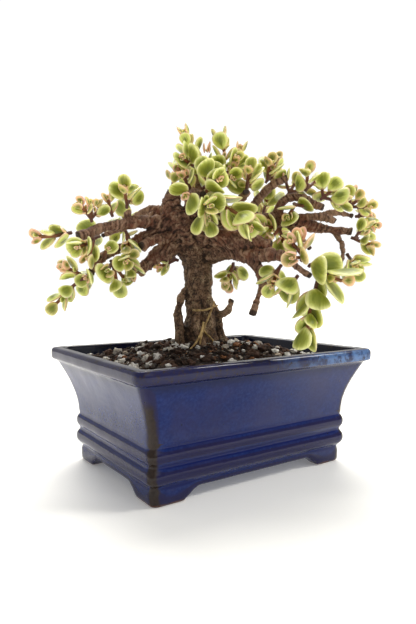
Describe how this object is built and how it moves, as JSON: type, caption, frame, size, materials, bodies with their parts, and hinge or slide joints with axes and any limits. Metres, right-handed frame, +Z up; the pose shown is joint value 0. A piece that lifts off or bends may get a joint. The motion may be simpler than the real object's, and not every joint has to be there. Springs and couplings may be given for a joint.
{
  "type": "potted bonsai tree",
  "caption": "Succulent bonsai with cream-edged leaves, growing in a rectangular blue glazed pot on bracket feet.",
  "frame": {"origin": "on the surface that the pot stands on, under the middle of the whole object's box", "axes": "+X along the pot's long side, +Y across it, away from the side that the low hanging shoot is on, +Z up"},
  "size_m": [0.1989, 0.1715, 0.2035],
  "materials": {
    "cobalt_glaze": "gloss",
    "mesh_plastic": "matte",
    "potting_mix": "matte",
    "bark": "matte",
    "variegated_leaf": "satin"
  },
  "bodies": {
    "root": {"branch_back": "bark", "branch_back_left": "bark", "branch_left": "bark", "branch_right": "bark", "branch_right_front": "bark", "branch_top": "bark", "drain_mesh_left": "mesh_plastic", "drain_mesh_right": "mesh_plastic", "pot": "cobalt_glaze", "shoot_back_left_low": "variegated_leaf", "shoot_back_left_tip": "variegated_leaf", "shoot_back_right_tip": "variegated_leaf", "shoot_back_right_up": "variegated_leaf", "shoot_back_tip": "variegated_leaf", "shoot_back_up": "variegated_leaf", "shoot_front_big": "variegated_leaf", "shoot_front_drape": "variegated_leaf", "shoot_front_pale": "variegated_leaf", "shoot_front_under": "variegated_leaf", "shoot_hanging": "variegated_leaf", "shoot_left_below": "variegated_leaf", "shoot_left_between": "variegated_leaf", "shoot_left_middle": "variegated_leaf", "shoot_left_rosette": "variegated_leaf", "shoot_left_small": "variegated_leaf", "shoot_left_tip": "variegated_leaf", "shoot_left_under": "variegated_leaf", "shoot_low_front": "variegated_leaf", "shoot_low_inner": "variegated_leaf", "shoot_low_left_front": "variegated_leaf", "shoot_low_left_inner": "variegated_leaf", "shoot_low_left_of_tassel": "variegated_leaf", "shoot_low_left_side": "variegated_leaf", "shoot_low_left_tip": "variegated_leaf", "shoot_low_tassel": "variegated_leaf", "shoot_middle": "variegated_leaf", "shoot_middle_pink": "variegated_leaf", "shoot_right_arch_back": "variegated_leaf", "shoot_right_arch_end": "variegated_leaf", "shoot_right_arch_front": "variegated_leaf", "shoot_right_arch_up": "variegated_leaf", "shoot_right_crest": "variegated_leaf", "shoot_right_drop": "variegated_leaf", "shoot_right_far_tip": "variegated_leaf", "shoot_right_far_up": "variegated_leaf", "shoot_right_inner": "variegated_leaf", "shoot_right_tip": "variegated_leaf", "shoot_top_back": "variegated_leaf", "shoot_top_front": "variegated_leaf", "shoot_top_inner": "variegated_leaf", "shoot_top_left": "variegated_leaf", "shoot_top_main": "variegated_leaf", "shoot_top_middle": "variegated_leaf", "shoot_top_outer": "variegated_leaf", "shoot_top_pink": "variegated_leaf", "shoot_top_right": "variegated_leaf", "shoot_trunk_left": "variegated_leaf", "shoot_trunk_top": "variegated_leaf", "soil": "potting_mix", "trunk": "bark"}
  },
  "joints": []
}
